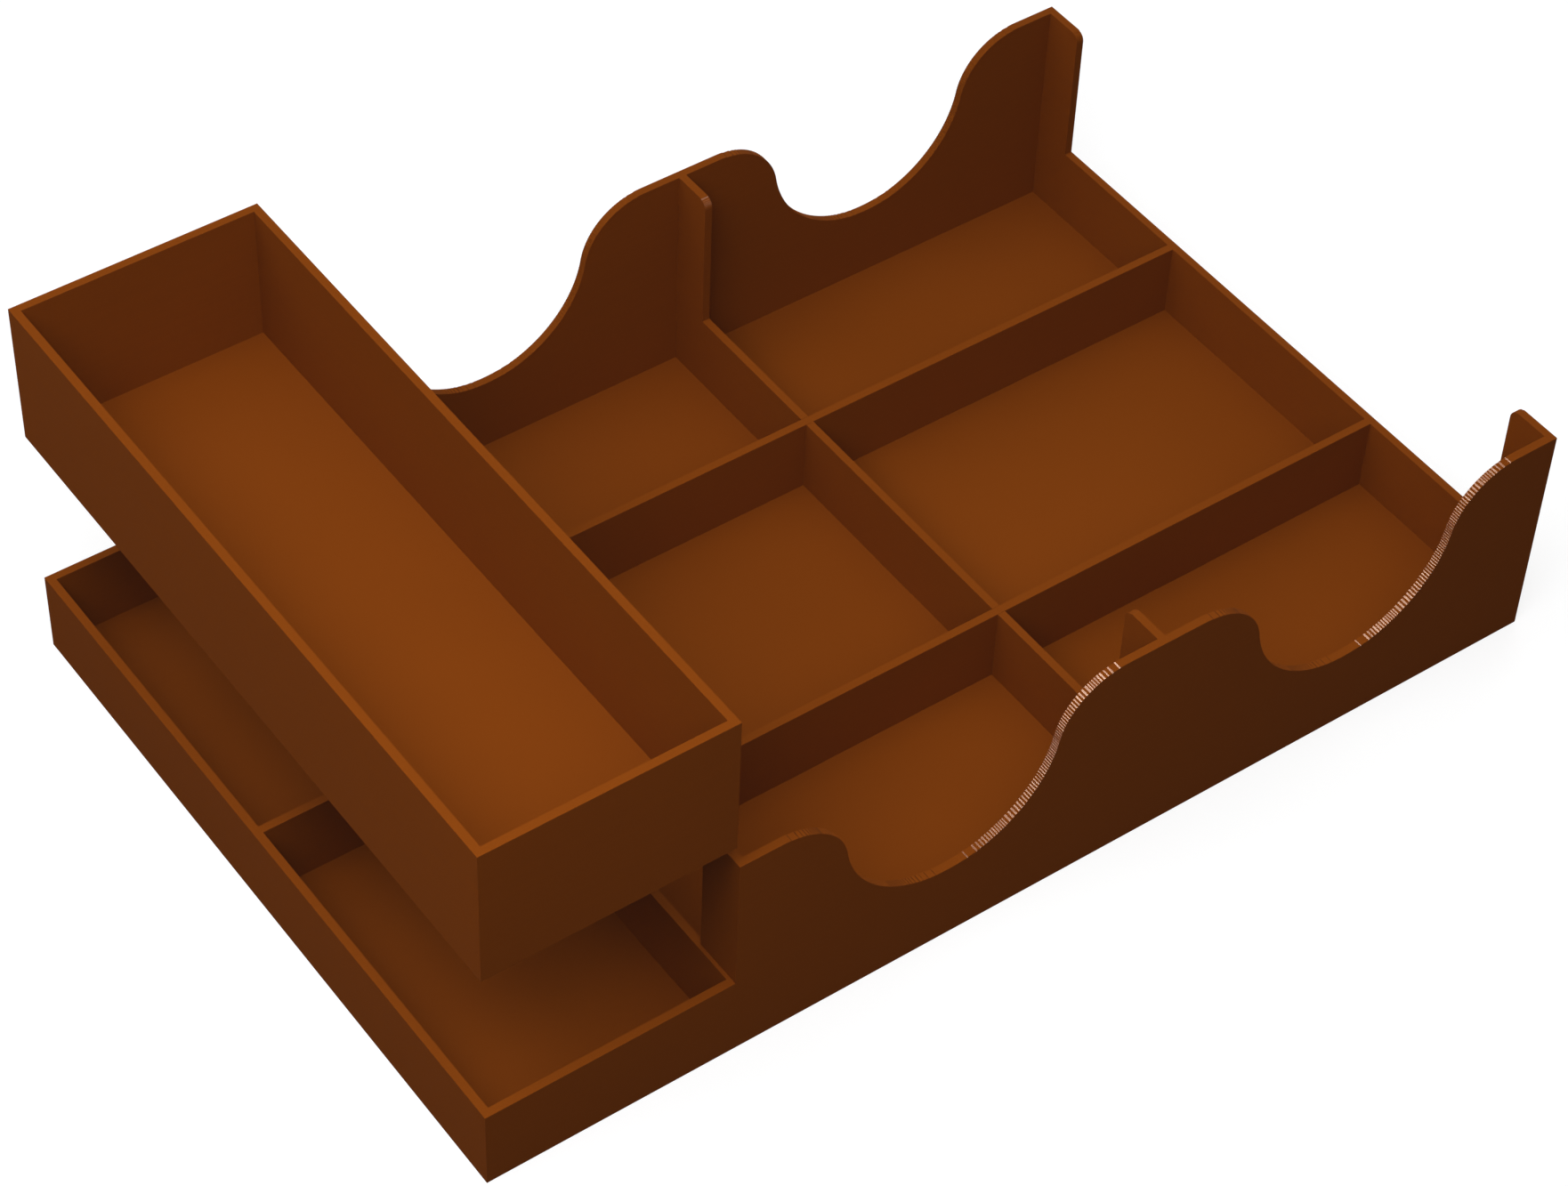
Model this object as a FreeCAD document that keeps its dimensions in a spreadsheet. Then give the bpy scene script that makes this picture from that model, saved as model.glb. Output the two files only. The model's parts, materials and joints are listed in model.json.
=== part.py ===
import FreeCAD, Part
import math
import os
import Sketcher

# Board game organizer: a box of thin flat panels, open at the top, with a low
# bay on the left for two piles, six compartments on the right, and a loose tray
# that seats on the low bay. The tray is held raised above its seat.
# X runs along the front, Y from front to back, Z up. The origin is on the
# surface the box stands on, under the middle of its base. Millimetres.

doc = FreeCAD.newDocument("organizer")

# Driving dimensions, each written once.
size_list = [
    ("overall_length", 284.0, "outside, along the front"),
    ("overall_depth", 182.0, "outside, front to back"),
    ("high_wall_height", 59.5, "front, back and corner height"),
    ("low_wall_height", 22.0, "dividers, bay walls and scoop floors"),
    ("wall_thickness", 2.0, "thickness of the four outer walls"),
    ("divider_thickness", 2.0, "thickness of the walls and dividers inside"),
    ("floor_thickness", 2.0, "thickness of the floor"),
    ("bay_width", 58.9, "clear width of the low bay"),
    ("middle_row_depth", 71.5, "clear depth of the middle row of compartments"),
    ("post_setback", 0.9, "bay posts stand back from the bay by this much"),
    ("post_reach", 10.7, "how far corner posts reach in from the wall they meet"),
    ("post_corner_radius", 2.5, "rounded top corner of every post"),
    ("scoop_width", 89.0, "finger scoop, flat to flat"),
    ("scoop_shoulder_radius", 17.0, "round edge where a scoop leaves the flat"),
    ("tab_length", 14.0, "tabs that key a divider into the floor"),
    ("joint_clearance", 0.1, "play of a tab or a crossing in its slot"),
    ("tray_clearance", 0.9, "gap between the seated tray and the bay posts"),
    ("tray_wall_thickness", 2.0, "thickness of the tray walls"),
    ("tray_floor_thickness", 2.0, "thickness of the tray floor"),
    ("tray_raise", 44.2, "height of the tray above its seat"),
]
sizes = doc.addObject("Spreadsheet::Sheet", "sizes")
for row, (alias, number, note) in enumerate(size_list, start=1):
    sizes.set("A%d" % row, alias)
    sizes.set("B%d" % row, str(number))
    sizes.set("C%d" % row, note)
    sizes.setAlias("B%d" % row, alias)
doc.recompute()


# Expressions: each is text that the document works out from the sheet.
def size(alias):
    return "sizes." + alias


def total(*terms):
    return "(" + " + ".join(terms) + ")"


def less(first, *terms):
    return "(" + " - ".join((first,) + terms) + ")"


def half(term):
    return "(" + term + ") / 2"


def value(expression):
    return float(sizes.evalExpression(expression))


length = size("overall_length")
depth = size("overall_depth")
high = size("high_wall_height")
low = size("low_wall_height")
wall = size("wall_thickness")
divider = size("divider_thickness")
floor = size("floor_thickness")
play = half(size("joint_clearance"))

inner_right = less(length, wall)
inner_back = less(depth, wall)
bay_wall_left = total(wall, size("bay_width"))
bay_wall_right = total(bay_wall_left, divider)
column_width = half(less(inner_right, bay_wall_right, divider))
centre_wall_left = total(bay_wall_right, column_width)
centre_wall_right = total(centre_wall_left, divider)
column_middles = [
    total(bay_wall_right, half(column_width)),
    total(centre_wall_right, half(column_width)),
]
bay_post_left = total(bay_wall_left, size("post_setback"))
bay_middle = total(wall, half(size("bay_width")))

row_depth = half(less(depth, wall, wall, size("middle_row_depth"), divider, divider))
front_divider_front = total(wall, row_depth)
back_divider_front = total(front_divider_front, divider, size("middle_row_depth"))
row_middles = [
    total(wall, half(row_depth)),
    half(depth),
    less(inner_back, half(row_depth)),
]
bay_divider_front = less(half(depth), half(divider))
crossing_height = half(total(floor, low))

# A scoop is three arcs, tangent to the flats and to each other: a convex
# shoulder, a concave floor that touches the low wall height, and a shoulder.
scoop_half = half(size("scoop_width"))
scoop_drop = less(high, low)
scoop_radii = "(({w}) ^ 2 + ({d}) ^ 2) / (2 * ({d}))".format(w=scoop_half, d=scoop_drop)
shoulder_radius = size("scoop_shoulder_radius")
scoop_radius = less(scoop_radii, shoulder_radius)

tray_width = less(bay_post_left, size("tray_clearance"))
tray_height = scoop_drop
tray_wall = size("tray_wall_thickness")
tray_floor = size("tray_floor_thickness")
tray_bottom = total(low, size("tray_raise"))
tray_depth = depth


# Sketches. An outline is a closed run of sides, taken counterclockwise. A side
# is ("level", height) or ("upright", distance), and may end in a third entry,
# the corner that follows it: ("round", radius) or ("scoop", middle).
def arc_between(centre, radius, start, end):
    angles = [math.atan2(p.y - centre.y, p.x - centre.x) for p in (start, end)]
    if angles[1] <= angles[0]:
        angles[1] += 2 * math.pi
    circle = Part.Circle(centre, FreeCAD.Vector(0, 0, 1), radius)
    return Part.ArcOfCircle(circle, angles[0], angles[1])


def corner_point(side, following):
    across = {entry[0]: value(entry[1]) for entry in (side, following)}
    return FreeCAD.Vector(across["upright"], across["level"], 0)


def bind(sketch, constraint, expression):
    number = sketch.addConstraint(constraint)
    sketch.setExpression("Constraints[%d]" % number, expression)


def place_side(sketch, line, side):
    kind, position = side[0], side[1]
    direction = "Horizontal" if kind == "level" else "Vertical"
    sketch.addConstraint(Sketcher.Constraint(direction, line))
    if position == "0":
        axis = -1 if kind == "level" else -2
        sketch.addConstraint(Sketcher.Constraint("PointOnObject", line, 1, axis))
        return
    measure = "DistanceY" if kind == "level" else "DistanceX"
    bind(sketch, Sketcher.Constraint(measure, -1, 1, line, 1, value(position)), position)


def round_corner(sketch, line, next_line, corner, ahead, onward, radius):
    arc_start = corner - ahead * value(radius)
    arc_end = corner + onward * value(radius)
    centre = arc_start + onward * value(radius)
    turns_left = ahead.cross(onward).z > 0
    ends = (arc_start, arc_end) if turns_left else (arc_end, arc_start)
    arc = sketch.addGeometry(arc_between(centre, value(radius), *ends), False)
    first, last = (1, 2) if turns_left else (2, 1)
    sketch.addConstraint(Sketcher.Constraint("Tangent", line, 2, arc, first))
    sketch.addConstraint(Sketcher.Constraint("Tangent", arc, last, next_line, 1))
    bind(sketch, Sketcher.Constraint("Radius", arc, value(radius)), radius)


def cut_scoop(sketch, line, next_line, middle):
    shoulder = value(shoulder_radius)
    bowl = value(scoop_radius)
    reach = value(scoop_half)
    turn = shoulder / (shoulder + bowl)
    top, floor_level, centre_x = value(high), value(low), value(middle)
    right_centre = FreeCAD.Vector(centre_x + reach, top - shoulder, 0)
    left_centre = FreeCAD.Vector(centre_x - reach, top - shoulder, 0)
    bowl_centre = FreeCAD.Vector(centre_x, floor_level + bowl, 0)
    right_turn = right_centre + (bowl_centre - right_centre) * turn
    left_turn = left_centre + (bowl_centre - left_centre) * turn
    right_top = right_centre + FreeCAD.Vector(0, shoulder, 0)
    left_top = left_centre + FreeCAD.Vector(0, shoulder, 0)
    right = sketch.addGeometry(arc_between(right_centre, shoulder, right_top, right_turn), False)
    base = sketch.addGeometry(arc_between(bowl_centre, bowl, left_turn, right_turn), False)
    left = sketch.addGeometry(arc_between(left_centre, shoulder, left_turn, left_top), False)
    sketch.addConstraint(Sketcher.Constraint("Tangent", line, 2, right, 1))
    sketch.addConstraint(Sketcher.Constraint("Tangent", right, 2, base, 2))
    sketch.addConstraint(Sketcher.Constraint("Tangent", base, 1, left, 1))
    sketch.addConstraint(Sketcher.Constraint("Tangent", left, 2, next_line, 1))
    for shoulder_arc in (right, left):
        radius = Sketcher.Constraint("Radius", shoulder_arc, shoulder)
        bind(sketch, radius, shoulder_radius)
    bind(sketch, Sketcher.Constraint("Radius", base, bowl), scoop_radius)
    flat_ends = ((line, 2, total(middle, scoop_half)), (next_line, 1, less(middle, scoop_half)))
    for edge, point, end in flat_ends:
        bind(sketch, Sketcher.Constraint("DistanceX", -1, 1, edge, point, value(end)), end)


def draw_outline(sketch, sides):
    count = len(sides)
    starts = [None] * count
    ends = [None] * count
    for i, side in enumerate(sides):
        j = (i + 1) % count
        corner = side[2] if len(side) > 2 else None
        if corner and corner[0] == "scoop":
            middle, reach, level = value(corner[1]), value(scoop_half), value(side[1])
            ends[i] = FreeCAD.Vector(middle + reach, level, 0)
            starts[j] = FreeCAD.Vector(middle - reach, level, 0)
        else:
            ends[i] = starts[j] = corner_point(side, sides[j])
    ahead = [(ends[i] - starts[i]).normalize() for i in range(count)]
    trims = [value(side[2][1]) if len(side) > 2 and side[2][0] == "round" else 0 for side in sides]
    lines = []
    for i, side in enumerate(sides):
        start = starts[i] + ahead[i] * trims[i - 1]
        end = ends[i] - ahead[i] * trims[i]
        line = sketch.addGeometry(Part.LineSegment(start, end), False)
        place_side(sketch, line, side)
        lines.append(line)
    for i, side in enumerate(sides):
        j = (i + 1) % count
        corner = side[2] if len(side) > 2 else None
        if corner is None:
            joint = Sketcher.Constraint("Coincident", lines[i], 2, lines[j], 1)
            sketch.addConstraint(joint)
        elif corner[0] == "round":
            round_corner(sketch, lines[i], lines[j], ends[i], ahead[i], ahead[j], corner[1])
        else:
            cut_scoop(sketch, lines[i], lines[j], corner[1])


def origin_plane(body, role):
    for feature in body.Origin.OriginFeatures:
        if feature.Role == role:
            return feature
    raise ValueError("no plane " + role)


def add_sketch(body, name, role, outlines):
    sketch = body.newObject("Sketcher::SketchObject", name)
    sketch.AttachmentSupport = [(origin_plane(body, role), "")]
    sketch.MapMode = "FlatFace"
    for sides in outlines:
        draw_outline(sketch, sides)
    return sketch


panels = []


def add_panel(name, role, sides, thickness, corner):
    """A flat panel: its outline on one plane, padded to its thickness."""
    body = doc.addObject("PartDesign::Body", name)
    body.Label = name
    sketch = add_sketch(body, name + "_outline", role, [sides])
    pad = body.newObject("PartDesign::Pad", name + "_pad")
    pad.Profile = sketch
    pad.Reversed = role == "XZ_Plane"
    pad.setExpression("Length", thickness)
    for axis, distance in zip("xyz", corner):
        body.setExpression("Placement.Base." + axis, distance)
    panels.append(body)
    return body


def rectangle(left, front, right, back):
    return [("level", front), ("upright", right), ("level", back), ("upright", left)]


def box_corner(x="0", y="0", z="0"):
    """A point of the box, measured from its outer front left corner."""
    return (less(x, half(length)), less(y, half(depth)), z)


def tab(middle):
    """Sides of a tab that hangs through the floor, after the level side before it."""
    reach = half(size("tab_length"))
    return [
        ("upright", less(middle, reach)),
        ("level", "0"),
        ("upright", total(middle, reach)),
        ("level", floor),
    ]


def notch_above(front):
    """Sides of a slot from below, up to the crossing height."""
    return [
        ("upright", less(front, play)),
        ("level", crossing_height),
        ("upright", total(front, divider, play)),
        ("level", floor),
    ]


def notch_below(front):
    """Sides of a slot from above, down to the crossing height."""
    return [
        ("upright", total(front, divider, play)),
        ("level", crossing_height),
        ("upright", less(front, play)),
        ("level", low),
    ]


# Outer walls.
def scooped_wall(name, front):
    scoops = [("level", high, ("scoop", middle)) for middle in reversed(column_middles)]
    sides = [("level", "0"), ("upright", length)] + scoops
    sides += [("level", high), ("upright", bay_post_left), ("level", low), ("upright", "0")]
    add_panel(name, "XZ_Plane", sides, wall, box_corner(y=front))


# Every post reaches in from the front or back wall and has one rounded corner.
rounded = ("round", size("post_corner_radius"))
front_reach = total(wall, size("post_reach"))
back_reach = less(inner_back, size("post_reach"))


def post_sides(bottom, notches):
    """A wall with a tall post at each end and a low edge between."""
    sides = bottom + [("upright", inner_back), ("level", high, rounded)]
    sides += [("upright", back_reach), ("level", low)] + notches
    sides += [("upright", front_reach, rounded), ("level", high), ("upright", wall)]
    return sides


scooped_wall("front_wall", "0")
scooped_wall("back_wall", inner_back)
add_panel("left_wall", "YZ_Plane", rectangle(wall, "0", inner_back, low), wall, box_corner())
add_panel("right_wall", "YZ_Plane", post_sides([("level", "0")], []), wall, box_corner(x=inner_right))

# Walls and dividers inside.
row_tabs = [("level", floor)]
for middle in row_middles:
    row_tabs += tab(middle)
bay_wall_sides = row_tabs + [("upright", inner_back), ("level", low), ("upright", wall)]
add_panel("bay_wall", "YZ_Plane", bay_wall_sides, divider, box_corner(x=bay_wall_left))

crossings = notch_below(back_divider_front) + notch_below(front_divider_front)
centre_sides = post_sides(row_tabs, crossings)
add_panel("centre_wall", "YZ_Plane", centre_sides, divider, box_corner(x=centre_wall_left))


def row_divider(name, front):
    sides = [("level", floor)] + tab(column_middles[0]) + notch_above(centre_wall_left)
    sides += tab(column_middles[1])
    sides += [("upright", inner_right), ("level", low), ("upright", bay_wall_right)]
    add_panel(name, "XZ_Plane", sides, divider, box_corner(y=front))


row_divider("front_row_divider", front_divider_front)
row_divider("back_row_divider", back_divider_front)

bay_divider_sides = [("level", floor)] + tab(bay_middle)
bay_divider_sides += [("upright", bay_wall_left), ("level", low), ("upright", wall)]
add_panel("bay_divider", "XZ_Plane", bay_divider_sides, divider, box_corner(y=bay_divider_front))


# Posts that carry the corners up beside the bay and guide the tray.
def bay_post(name, sides):
    add_panel(name, "YZ_Plane", sides, divider, box_corner(x=bay_post_left))


bay_post("bay_front_post", [
    ("level", low), ("upright", front_reach, rounded), ("level", high), ("upright", wall)])
bay_post("bay_back_post", [
    ("level", low), ("upright", inner_back), ("level", high, rounded), ("upright", back_reach)])

# Floor, with a slot for each tab.
floor_sides = rectangle(wall, wall, inner_right, inner_back)
floor_body = add_panel("base_floor", "XY_Plane", floor_sides, floor, box_corner())
reach = total(half(size("tab_length")), play)
slots = []
for left in (bay_wall_left, centre_wall_left):
    for middle in row_middles:
        sides = (less(left, play), less(middle, reach), total(left, divider, play), total(middle, reach))
        slots.append(rectangle(*sides))
for front in (front_divider_front, back_divider_front):
    for middle in column_middles:
        sides = (less(middle, reach), less(front, play), total(middle, reach), total(front, divider, play))
        slots.append(rectangle(*sides))
slots.append(rectangle(
    less(bay_middle, reach), less(bay_divider_front, play),
    total(bay_middle, reach), total(bay_divider_front, divider, play)))
slot_sketch = add_sketch(floor_body, "base_floor_slots", "XY_Plane", slots)
slot_pocket = floor_body.newObject("PartDesign::Pocket", "base_floor_cut")
slot_pocket.Profile = slot_sketch
slot_pocket.Type = "ThroughAll"
slot_pocket.Reversed = True


# Tray: four walls round a floor.
def tray_corner(x="0", y="0"):
    return box_corner(x, y, tray_bottom)


tray_right = less(tray_width, tray_wall)
tray_back = less(tray_depth, tray_wall)
tray_end = rectangle("0", "0", tray_width, tray_height)
tray_side = rectangle(tray_wall, "0", tray_back, tray_height)
tray_base = rectangle(tray_wall, tray_wall, tray_right, tray_back)
add_panel("tray_floor", "XY_Plane", tray_base, tray_floor, tray_corner())
add_panel("tray_front_wall", "XZ_Plane", tray_end, tray_wall, tray_corner())
add_panel("tray_back_wall", "XZ_Plane", tray_end, tray_wall, tray_corner(y=tray_back))
add_panel("tray_left_wall", "YZ_Plane", tray_side, tray_wall, tray_corner())
add_panel("tray_right_wall", "YZ_Plane", tray_side, tray_wall, tray_corner(x=tray_right))

doc.recompute()

# Nothing is written unless every object is sound.
for item in doc.Objects:
    if "Invalid" in item.State or "Error" in item.State:
        raise RuntimeError("failed: " + item.Name)
for body in panels:
    shape = body.Shape
    if shape.isNull() or not shape.isValid() or len(shape.Solids) != 1:
        raise RuntimeError("not a sound solid: " + body.Label)
os.makedirs("parts", exist_ok=True)
for body in panels:
    body.Shape.exportStep("parts/" + body.Label + ".step")
print("%d pieces, scoop floor radius %.2f mm" % (len(panels), value(scoop_radius)))
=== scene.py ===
import bpy
import json
import math
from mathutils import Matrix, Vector


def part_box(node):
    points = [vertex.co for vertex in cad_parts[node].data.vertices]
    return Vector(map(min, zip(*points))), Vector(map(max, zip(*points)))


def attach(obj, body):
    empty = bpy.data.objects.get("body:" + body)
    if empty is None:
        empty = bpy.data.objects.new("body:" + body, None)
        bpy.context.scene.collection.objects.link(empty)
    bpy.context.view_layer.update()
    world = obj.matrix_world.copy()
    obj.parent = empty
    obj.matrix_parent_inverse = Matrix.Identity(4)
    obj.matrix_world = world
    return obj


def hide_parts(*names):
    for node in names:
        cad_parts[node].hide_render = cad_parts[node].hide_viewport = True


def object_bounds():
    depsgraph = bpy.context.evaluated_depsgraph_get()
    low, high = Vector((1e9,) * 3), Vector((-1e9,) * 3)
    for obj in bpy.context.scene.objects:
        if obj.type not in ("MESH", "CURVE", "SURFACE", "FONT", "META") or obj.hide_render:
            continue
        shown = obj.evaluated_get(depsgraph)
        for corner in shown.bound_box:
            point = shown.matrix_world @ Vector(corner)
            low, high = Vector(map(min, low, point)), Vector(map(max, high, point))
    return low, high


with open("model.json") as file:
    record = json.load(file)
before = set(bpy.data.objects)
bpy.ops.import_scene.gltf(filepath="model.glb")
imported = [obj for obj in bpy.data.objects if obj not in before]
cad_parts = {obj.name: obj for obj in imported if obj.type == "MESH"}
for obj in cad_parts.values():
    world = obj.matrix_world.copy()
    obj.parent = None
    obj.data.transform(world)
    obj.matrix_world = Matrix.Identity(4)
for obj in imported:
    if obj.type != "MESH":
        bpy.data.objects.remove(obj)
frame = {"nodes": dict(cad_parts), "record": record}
cadLow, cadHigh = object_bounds()

# Metres, in the frame of the CAD part: X along the front, Y to the back, Z up.
layerHeight = 0.0003  # the print's layers, counted from the underside
walls = {
    "high": 0.0595,  # top of the posts and of the tall stretches
    "low": 0.022,    # top of the dividers and of the low stretches
    "thickness": 0.002,
}


def deselectAll():
    if bpy.context.mode != "OBJECT":
        bpy.ops.object.mode_set(mode="OBJECT")
    bpy.ops.object.select_all(action="DESELECT")


seedSize = 0.001  # of the plane that is merged into one vertex


def startPoint(name, point):
    # one loose vertex in edit mode, to be drawn on from
    deselectAll()
    bpy.ops.mesh.primitive_plane_add(size=seedSize, location=point)
    piece = bpy.context.active_object
    piece.name = piece.data.name = name
    bpy.ops.object.transform_apply(location=True, rotation=True, scale=True)
    bpy.ops.object.mode_set(mode="EDIT")
    bpy.ops.mesh.select_all(action="SELECT")
    bpy.ops.mesh.merge(type="CENTER")
    bpy.ops.mesh.select_mode(type="VERT")
    return piece


def panelFromOutline(name, outline, thickness):
    # the outline drawn point by point, filled, and pulled out to the thickness
    piece = startPoint(name, outline[0])
    for here, there in zip(outline, outline[1:]):
        bpy.ops.mesh.extrude_vertices_move(TRANSFORM_OT_translate={"value": there - here})
    bpy.ops.mesh.select_all(action="SELECT")
    bpy.ops.mesh.edge_face_add()
    bpy.ops.mesh.extrude_region_move(TRANSFORM_OT_translate={"value": thickness})
    bpy.ops.mesh.select_all(action="SELECT")
    bpy.ops.mesh.normals_make_consistent(inside=False)
    bpy.ops.object.mode_set(mode="OBJECT")
    return piece


# Printed steps on a sloping edge
printedSteps = {
    "lipTilt": math.radians(35),  # how steep the small lip on top of each step is
    "lipShare": 0.48,             # most of a step that its lip takes
    "relief": 0.00012,            # how far a step stands off the true curve
    "unevenness": 0.3,            # how much the relief changes from step to step
    "wander": 2.3,                # how fast it changes, in radians a layer
    "leastSpread": 0.001,         # guards the division where a lip runs along its step
}
sameHeight = 1e-7  # heights nearer than this are the same
sameLayer = 1e-4   # a part of a layer, so that a height on a layer's edge starts that layer
treadShares = [1 / 16, 1 / 4, 9 / 16]  # points on a curved tread, from its end at a flat


def stepHeights(edgeAt, lowest, highest, shortTread, longTread):
    # Where the steps start and end. A step is one layer high. An odd layer with a tread shorter
    # or longer than the two limits makes one step with the next layer, where that one is whole.
    heights = [lowest]
    while heights[-1] < highest - sameHeight:
        layer = math.floor(heights[-1] / layerHeight + sameLayer)
        top = (layer + 1) * layerHeight
        tread = abs(edgeAt(min(top, highest)) - edgeAt(heights[-1]))
        isWithin = shortTread <= tread <= longTread
        if layer % 2 and top + layerHeight <= highest and not isWithin:
            top += layerHeight
        heights.append(min(top, highest))
    return heights


def steppedEdge(edgeAt, lowest, highest, shortTread=0.0, longTread=math.inf):
    # Points (across, up) of a printed edge, where edgeAt(height) is the true curve.
    # The ends of each step lie on the curve, and each step but the last ends in a lip.
    heights = stepHeights(edgeAt, lowest, highest, shortTread, longTread)
    tilt = printedSteps["lipTilt"]
    points = [(edgeAt(lowest), lowest)]
    for bottom, top in zip(heights, heights[1:]):
        end = Vector((edgeAt(top), top))
        step = end - Vector((edgeAt(bottom), bottom))
        lip = Vector((math.copysign(math.cos(tilt), step.x), math.sin(tilt)))
        shares = []
        if bottom == lowest:
            shares = treadShares
        elif top == highest:
            shares = [1 - share for share in reversed(treadShares)]
        points += [(edgeAt(bottom + share * step.y), bottom + share * step.y) for share in shares]
        if top < highest:
            spread = abs(step.x * lip.y - step.y * lip.x) / step.length
            wave = math.sin(top / layerHeight * printedSteps["wander"])
            relief = printedSteps["relief"] * (1 + printedSteps["unevenness"] * wave)
            most = printedSteps["lipShare"] * min(step.length, step.x / lip.x)
            lipLength = min(most, relief / max(spread, printedSteps["leastSpread"]))
            points.append(tuple(end - lip * lipLength))
        points.append(tuple(end))
    return points


# Finger scoops, three tangent arcs each
scoop = {
    "halfWidth": 0.0445,
    "shoulderRadius": 0.017,
    "shortTread": 0.00045,  # a single layer with a shorter tread joins the next
    "longTread": 0.001,     # and with a longer one too, on the scoop's right side
}
scoopDrop = walls["high"] - walls["low"]
radiusSum = (scoop["halfWidth"] ** 2 + scoopDrop ** 2) / (2 * scoopDrop)
bowlRadius = radiusSum - scoop["shoulderRadius"]
turnHeight = walls["high"] - scoop["shoulderRadius"] * (1 - (radiusSum - scoopDrop) / radiusSum)


def scoopHalfWidthAt(height):
    # half the scoop's opening at a height, bowl below and shoulder above
    if height <= turnHeight:
        rise = bowlRadius - (height - walls["low"])
        return math.sqrt(max(bowlRadius ** 2 - rise ** 2, 0))
    fall = scoop["shoulderRadius"] - (walls["high"] - height)
    return scoop["halfWidth"] - math.sqrt(max(scoop["shoulderRadius"] ** 2 - fall ** 2, 0))


def scoopOutline(middle):
    # from the right flat down through the bowl and up to the left flat
    side = [scoopHalfWidthAt, walls["low"], walls["high"], scoop["shortTread"]]
    right = steppedEdge(*side, scoop["longTread"])
    left = steppedEdge(*side)
    points = [(middle + across, up) for across, up in reversed(right)]
    points += [(middle - across, up) for across, up in left[1:]]
    return points


# Front and back walls
longWall = {
    "left": cadLow.x,
    "right": cadHigh.x,
    "rise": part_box("bay_front_post")[0].x,  # where the low stretch beside the bay ends
}
columnMiddles = [
    (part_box("bay_wall")[1].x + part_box("centre_wall")[0].x) / 2,
    (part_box("centre_wall")[1].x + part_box("right_wall")[0].x) / 2,
]


def makeLongWall(name, node):
    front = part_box(node)[0].y
    outline = [(longWall["left"], 0), (longWall["right"], 0), (longWall["right"], walls["high"])]
    for middle in reversed(columnMiddles):
        outline += scoopOutline(middle)
    outline += [(longWall["rise"], walls["high"]), (longWall["rise"], walls["low"])]
    outline += [(longWall["left"], walls["low"])]
    points = [Vector((across, front, up)) for across, up in outline]
    return panelFromOutline(name, points, (0, walls["thickness"], 0))


# Walls and posts with a round corner
post = {
    "reach": 0.0107,  # of a post along its wall
    "cornerRadius": 0.0025,
}


def postCorner(inner, towardsWall):
    # the round upper corner of a post, from its inner edge up to its top
    radius = post["cornerRadius"]

    def inset(height):
        rise = max(height - (walls["high"] - radius), 0)
        return radius - math.sqrt(max(radius ** 2 - rise ** 2, 0))

    points = steppedEdge(inset, walls["high"] - radius, walls["high"])
    return [(inner + towardsWall * across, up) for across, up in points]


def makeCrossWall(name, node, bottomLine, topLine):
    # a low wall from front to back with a post at each end
    low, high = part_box(node)
    frontInner = low.y + post["reach"]
    backInner = high.y - post["reach"]
    outline = bottomLine + [(high.y, walls["high"])]
    outline += list(reversed(postCorner(backInner, 1)))
    outline += [(backInner, walls["low"])] + topLine + [(frontInner, walls["low"])]
    outline += postCorner(frontInner, -1)
    outline += [(low.y, walls["high"])]
    points = [Vector((low.x, across, up)) for across, up in outline]
    return panelFromOutline(name, points, (walls["thickness"], 0, 0))


def makeBayPost(name, node, towardsWall):
    # towardsWall is -1 for a post with the long wall in front of it, and 1 for one behind
    low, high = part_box(node)
    inner, outer = (high.y, low.y) if towardsWall < 0 else (low.y, high.y)
    outline = [(outer, low.z), (inner, low.z)] + postCorner(inner, towardsWall) + [(outer, high.z)]
    points = [Vector((low.x, across, up)) for across, up in outline]
    return panelFromOutline(name, points, (walls["thickness"], 0, 0))


centreJoints = {
    "tabLength": 0.014,      # a tab through the floor in the middle of each row
    "halvingHeight": 0.012,  # how far down the row dividers are let in
    "play": 0.00005,         # on each side of a row divider
}


def makeCentreWall():
    low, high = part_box("centre_wall")
    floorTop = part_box("base_floor")[1].z
    dividers = [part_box("front_row_divider"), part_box("back_row_divider")]
    rows = [low.y] + [face for divider in dividers for face in (divider[0].y, divider[1].y)] + [high.y]
    bottomLine = [(low.y, floorTop)]
    for rowFront, rowBack in zip(rows[0::2], rows[1::2]):
        tabFront = (rowFront + rowBack - centreJoints["tabLength"]) / 2
        tabBack = tabFront + centreJoints["tabLength"]
        bottomLine += [(tabFront, floorTop), (tabFront, low.z), (tabBack, low.z), (tabBack, floorTop)]
    bottomLine.append((high.y, floorTop))
    topLine = []
    for dividerLow, dividerHigh in reversed(dividers):
        front = dividerLow.y - centreJoints["play"]
        back = dividerHigh.y + centreJoints["play"]
        topLine += [(back, walls["low"]), (back, centreJoints["halvingHeight"])]
        topLine += [(front, centreJoints["halvingHeight"]), (front, walls["low"])]
    return makeCrossWall("centreWall", "centre_wall", bottomLine, topLine)


def makeRightWall():
    low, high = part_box("right_wall")
    return makeCrossWall("rightWall", "right_wall", [(low.y, low.z), (high.y, low.z)], [])


made = {
    "front_wall": makeLongWall("frontWall", "front_wall"),
    "back_wall": makeLongWall("backWall", "back_wall"),
    "right_wall": makeRightWall(),
    "centre_wall": makeCentreWall(),
    "bay_front_post": makeBayPost("bayFrontPost", "bay_front_post", -1),
    "bay_back_post": makeBayPost("bayBackPost", "bay_back_post", 1),
}
print("walls and posts:", len(made))


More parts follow.
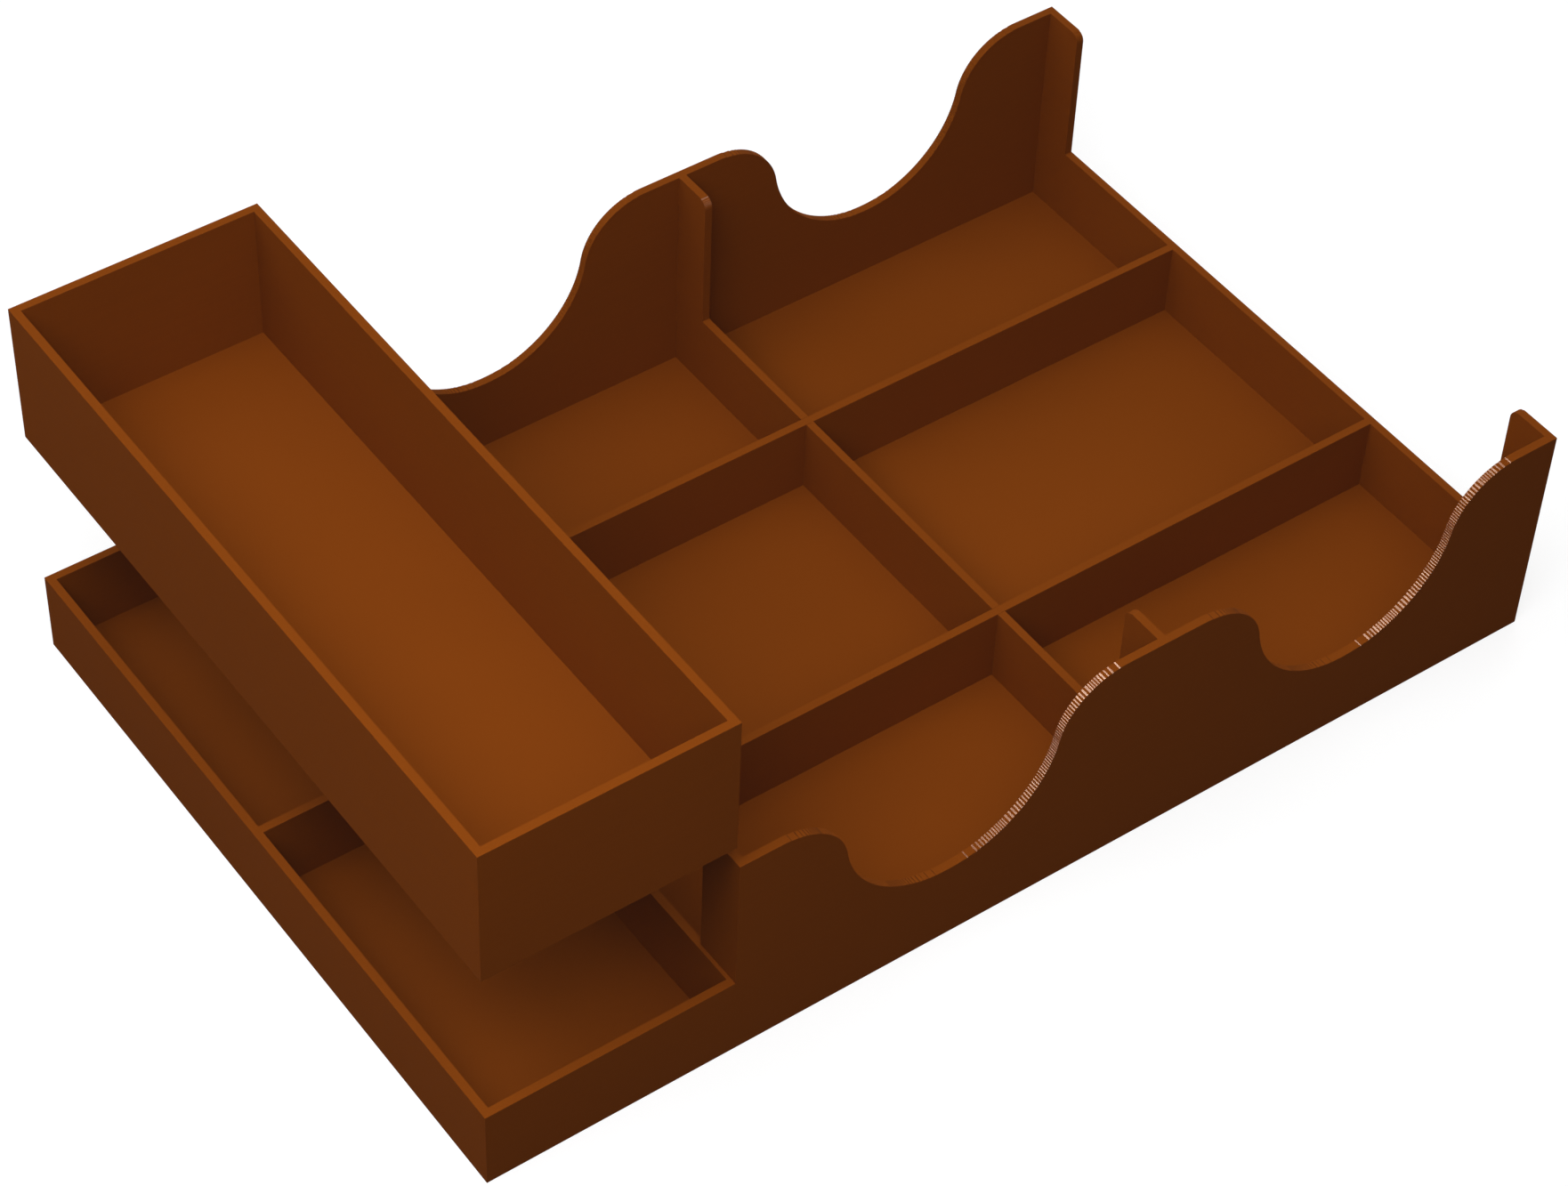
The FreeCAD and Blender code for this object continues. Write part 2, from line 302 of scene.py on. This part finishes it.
# Finishes
class Wire:
    # a socket that adds its Math nodes when it is used in an expression
    def __init__(self, board, socket):
        self.board = board
        self.socket = socket

    def other(self, output):
        return Wire(self.board, self.socket.node.outputs[output])

    def math(self, operation, first, second=0.0):
        return self.board.add("ShaderNodeMath", {"operation": operation}, {0: first, 1: second})

    def __add__(self, entry):
        return self.math("ADD", self, entry)

    __radd__ = __add__

    def __sub__(self, entry):
        return self.math("SUBTRACT", self, entry)

    def __rsub__(self, entry):
        return self.math("SUBTRACT", entry, self)

    def __mul__(self, entry):
        return self.math("MULTIPLY", self, entry)

    __rmul__ = __mul__

    def __truediv__(self, entry):
        return self.math("DIVIDE", self, entry)

    def power(self, entry):
        return self.math("POWER", self, entry)

    def floor(self):
        return self.math("FLOOR", self)

    def sine(self):
        return self.math("SINE", self)

    def size(self):
        return self.math("ABSOLUTE", self)

    def atLeast(self, entry):
        return self.math("MAXIMUM", self, entry)

    def atMost(self, entry):
        return self.math("MINIMUM", self, entry)


class Board:
    # the node tree of a material or world, with one way to add any node to it
    def __init__(self, owner):
        owner.use_nodes = True
        self.tree = owner.node_tree
        self.tree.nodes.clear()

    def add(self, kind, settings=None, entries=None, output=0):
        node = self.tree.nodes.new(kind)
        for key, entry in (settings or {}).items():
            setattr(node, key, entry)
        for key, entry in (entries or {}).items():
            if isinstance(entry, Wire):
                self.tree.links.new(entry.socket, node.inputs[key])
            else:
                node.inputs[key].default_value = entry
        return Wire(self, node.outputs[output]) if node.outputs else None


white = (1, 1, 1, 1)
noiseMiddle = 0.5  # each noise runs from 0 to 1

# what all surfaces of the print share
plastic = {
    "colour": (0.204, 0.0458, 0.002),
    "toneRange": (0.5, 1.5),  # of the colour, from the darkest shade to the lightest
    # painted glow: a faint even emission from the plastic that stands in for fill light on the dark
    # faces
    "paintedGlow": 0.0028,           # even faint light on every face, fitted to the photograph
    "layerTone": 0.03,        # how much one layer differs from the next
    "layerShift": 0.002,      # a part of a layer, so that a level face lies inside one layer
    "clouding": 0.05,         # slow drift of the tone over a panel
    "cloudScale": 45.0,
    "cloudDetail": 3.0,
    "cloudGloss": 0.06,       # how much the roughness drifts with it
    "grain": 0.03,
    "grainScale": 2200.0,
    "grainDetail": 2.0,
    "grainRelief": 0.000003,
}
panelFinish = {
    "roughness": 0.75,
    "spread": 0.05,  # how much the roughness changes from layer to layer
    "specular": 0.01,
    "glossTint": white,
    "layerRelief": 0.000012,
    "tone": 1.0,
}
glossyLipFinish = {
    "roughness": 0.24,
    "spread": 0.12,
    "specular": 0.2,
    "glossTint": (1.0, 0.76, 0.6, 1.0),
    "layerRelief": 0.0,
    "tone": 1.0,
}
# painted shade: lips facing right, away from the lamps, get half the plastic's colour
paintedShadeLipFinish = {
    "roughness": 0.75,
    "spread": 0.05,
    "specular": 0.01,
    "glossTint": white,
    "layerRelief": 0.0,
    "tone": 0.5,
}


def printedPlastic(name, finish):
    material = bpy.data.materials.new(name)
    board = Board(material)
    place = board.add("ShaderNodeTexCoord", output="Object")
    height = board.add("ShaderNodeSeparateXYZ", {}, {0: place}, output="Z")
    layer = height / layerHeight + plastic["layerShift"]
    tone = board.add("ShaderNodeTexWhiteNoise", {"noise_dimensions": "1D"}, {"W": layer.floor()})
    cloud = board.add("ShaderNodeTexNoise", {}, {
        "Vector": place,
        "Scale": plastic["cloudScale"],
        "Detail": plastic["cloudDetail"],
    })
    grain = board.add("ShaderNodeTexNoise", {}, {
        "Vector": place,
        "Scale": plastic["grainScale"],
        "Detail": plastic["grainDetail"],
    })
    shade = noiseMiddle + plastic["layerTone"] * (tone - noiseMiddle)
    shade = shade + plastic["clouding"] * (cloud - noiseMiddle)
    shade = shade + plastic["grain"] * (grain - noiseMiddle)
    # a finish tone below 1 is painted shade, as on the lips that face right
    dark, light = [
        [channel * factor * finish["tone"] for channel in plastic["colour"]] + [1]
        for factor in plastic["toneRange"]
    ]
    # a Mix node's colours are its sockets 6 and 7, and its output 2
    colour = board.add("ShaderNodeMix", {"data_type": "RGBA"}, {0: shade, 6: dark, 7: light}, output=2)
    roughness = finish["roughness"] + plastic["cloudGloss"] * (cloud - noiseMiddle)
    roughness = roughness + finish["spread"] * (tone - noiseMiddle)
    raised = (layer * math.pi).sine().size() * finish["layerRelief"] + grain * plastic["grainRelief"]
    normal = board.add("ShaderNodeBump", {}, {"Strength": 1.0, "Distance": 1.0, "Height": raised})
    shader = board.add("ShaderNodeBsdfPrincipled", {}, {
        "Base Color": colour,
        "Roughness": roughness,
        "Specular IOR Level": finish["specular"],
        "Specular Tint": finish["glossTint"],
        "Emission Color": white,
        # painted glow: the faint emission on every face
        "Emission Strength": plastic["paintedGlow"],
        "Normal": normal,
    })
    board.add("ShaderNodeOutputMaterial", {}, {0: shader})
    return material


boxPlastic = printedPlastic("boxPlastic", panelFinish)
trayPlastic = printedPlastic("trayPlastic", panelFinish)
glossyLip = printedPlastic("glossyLip", glossyLipFinish)
paintedShadeLip = printedPlastic("paintedShadeLip", paintedShadeLipFinish)

slotFinish = {"box_plastic": boxPlastic, "tray_plastic": trayPlastic}
nodeSlot = {entry["node"]: entry["material_slot"] for entry in frame["record"]["subparts"]}

lips = {
    "tiltMatch": 0.002,  # how far a lip's upward normal may be from the one of its tilt
    "leastTurn": 0.1,    # how far a face turns to a side before it counts as facing it
    "glossOn": ("front_wall", "centre_wall"),
    "gentle": (0.0271, 0.0564),  # the slopes are gentle below and above these heights
}


def dress(piece, material):
    piece.data.materials.clear()
    piece.data.materials.append(material)


def paintFace(piece, face, material):
    # gives one face a material, which the piece takes on when it is first used
    if material.name not in piece.data.materials:
        piece.data.materials.append(material)
    face.material_index = piece.data.materials.find(material.name)


def finishLips(piece, node):
    # the lips shine where they face left or forward; where they face right, away from the lamps, they
    # get painted shade
    for face in piece.data.polygons:
        if abs(face.normal.z - math.cos(printedSteps["lipTilt"])) > lips["tiltMatch"]:
            continue
        isGentle = not lips["gentle"][0] < face.center.z < lips["gentle"][1]
        if min(face.normal.x, face.normal.y) < -lips["leastTurn"] and node in lips["glossOn"]:
            paintFace(piece, face, glossyLip)
        elif face.normal.x > lips["leastTurn"] and isGentle:
            paintFace(piece, face, paintedShadeLip)


for name, cadNode in frame["nodes"].items():
    dress(cadNode, slotFinish[nodeSlot[name]])
for node, piece in made.items():
    dress(piece, slotFinish[nodeSlot[node]])
    finishLips(piece, node)
    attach(piece, "box")
    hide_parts(node)
print("finishes set")


# Floor, sky, lamps and camera
studio = {
    "floorSize": 8.0,
    "floorDrop": 0.0001,     # how far it lies under the object
    "floorTone": 0.3,
    "floorLift": 0.78,       # with the tone this makes an unshaded floor white
    "floorBounce": 0.1,      # how much light it sends back up to the object
    "clearAround": 0.35,     # from here on the floor fades to plain white
    "clearWidth": 0.4,
    "skyLevel": 0.37,        # light on a face that looks up
    "skyFocus": 4,           # how much brighter the sky is overhead
    "lampAim": (0, 0, 0.03),  # the middle of the box, which every lamp looks at
}
keyLamp = {"place": (-0.40, -0.05, 0.75), "size": (0.5, 0.5), "level": 0.223}
nearLamp = {"place": (-0.25, -0.22, 0.55), "size": (0.3, 0.3), "level": 0.252}
fillLamp = {"place": (-0.36, -0.47, 0.66), "size": (0.5, 0.5), "level": 0.233}
sideLamp = {"place": (-0.64, 0.42, 0.66), "size": (0.8, 0.8), "level": 0.199}
farLamp = {"place": (0.80, 0.55, 0.28), "size": (0.6, 0.6), "level": 0.35}
frontGlint = {"place": (-0.45, 0.38, 0.76), "size": (0.26, 0.26), "level": 1.0}
cornerGlint = {"place": (0.472, -0.32, 0.856), "size": (0.15, 0.15), "level": 0.06}


def whiteRays(board):
    # 1 for the rays that look at the background or mirror it, else 0
    rays = board.add("ShaderNodeLightPath", output="Is Camera Ray")
    return (rays + rays.other("Is Glossy Ray") + rays.other("Is Transmission Ray")).atMost(1.0)


def makeFloor():
    deselectAll()
    place = (0, 0, -studio["floorDrop"])
    bpy.ops.mesh.primitive_plane_add(size=studio["floorSize"], location=place)
    floor = bpy.context.active_object
    floor.name = floor.data.name = "studioFloor"
    bpy.ops.object.transform_apply(location=True, rotation=True, scale=True)
    material = bpy.data.materials.new("studioFloor")
    board = Board(material)
    spot = board.add("ShaderNodeTexCoord", output="Object")
    away = board.add("ShaderNodeVectorMath", {"operation": "LENGTH"}, {0: spot}, output="Value")
    clear = ((away - studio["clearAround"]) / studio["clearWidth"]).atLeast(0.0).atMost(1.0)
    tone, bounce = studio["floorTone"], studio["floorBounce"]
    shaded = board.add("ShaderNodeBsdfDiffuse", {}, {"Color": (tone, tone, tone, 1)})
    lift = board.add("ShaderNodeEmission", {}, {"Color": white, "Strength": studio["floorLift"]})
    near = board.add("ShaderNodeAddShader", {}, {0: shaded, 1: lift})
    far = board.add("ShaderNodeEmission", {}, {"Color": white, "Strength": 1.0})
    seen = board.add("ShaderNodeMixShader", {}, {0: clear, 1: near, 2: far})
    dull = board.add("ShaderNodeBsdfDiffuse", {}, {"Color": (bounce, bounce, bounce, 1)})
    whole = board.add("ShaderNodeMixShader", {}, {0: whiteRays(board), 1: dull, 2: seen})
    board.add("ShaderNodeOutputMaterial", {}, {0: whole})
    dress(floor, material)


def makeSky():
    world = bpy.data.worlds.new("studioSky")
    bpy.context.scene.world = world
    board = Board(world)
    towards = board.add("ShaderNodeTexCoord", output="Generated")
    height = board.add("ShaderNodeSeparateXYZ", {}, {0: towards}, output="Z").atLeast(0.0)
    # height to this power lights a level face 2 / (focus + 2) times as much as an even sky
    level = height.power(studio["skyFocus"]) * (studio["skyLevel"] * (studio["skyFocus"] + 2) / 2)
    level = level + whiteRays(board) * (1 - level)
    background = board.add("ShaderNodeBackground", {}, {"Strength": level})
    board.add("ShaderNodeOutputWorld", {}, {0: background})


def areaLamp(name, lamp, forGloss=False):
    # level is the light on a face square to the lamp at its aim, 1 for a colour as written.
    # A lamp for gloss is mirrored in shiny faces and lights nothing else.
    towards = Vector(lamp["place"]) - Vector(studio["lampAim"])
    deselectAll()
    bpy.ops.object.light_add(type="AREA", location=lamp["place"])
    piece = bpy.context.active_object
    piece.name = piece.data.name = name
    piece.data.shape = "RECTANGLE"
    piece.data.size, piece.data.size_y = lamp["size"]
    piece.data.energy = lamp["level"] * math.pi ** 2 * towards.length_squared
    piece.rotation_euler = towards.to_track_quat("Z", "Y").to_euler()
    piece.visible_camera = False
    piece.visible_diffuse = not forGloss


makeFloor()
makeSky()
areaLamp("keyLamp", keyLamp)
areaLamp("nearLamp", nearLamp)
areaLamp("fillLamp", fillLamp)
areaLamp("sideLamp", sideLamp)
areaLamp("farLamp", farLamp)
areaLamp("frontGlint", frontGlint, forGloss=True)
areaLamp("cornerGlint", cornerGlint, forGloss=True)

camera = {
    "place": (-0.412117, -0.531989, 0.718230),
    "turn": (42.7635, -1.3996, -35.1804),  # degrees
    "sensor": 36,  # millimetres, as the lens
    "lens": 98.063,
    "shift": (0.03154, 0.04066),
    "clip": (0.01, 50),
}


def makeCamera():
    deselectAll()
    turn = [math.radians(angle) for angle in camera["turn"]]
    bpy.ops.object.camera_add(location=camera["place"], rotation=turn)
    taker = bpy.context.active_object
    taker.name = taker.data.name = "photoCamera"
    taker.data.sensor_width = camera["sensor"]
    taker.data.lens = camera["lens"]
    taker.data.shift_x, taker.data.shift_y = camera["shift"]
    taker.data.clip_start, taker.data.clip_end = camera["clip"]
    bpy.context.scene.camera = taker


makeCamera()
bpy.context.scene.view_settings.view_transform = "Standard"
print("studio set")

deselectAll()
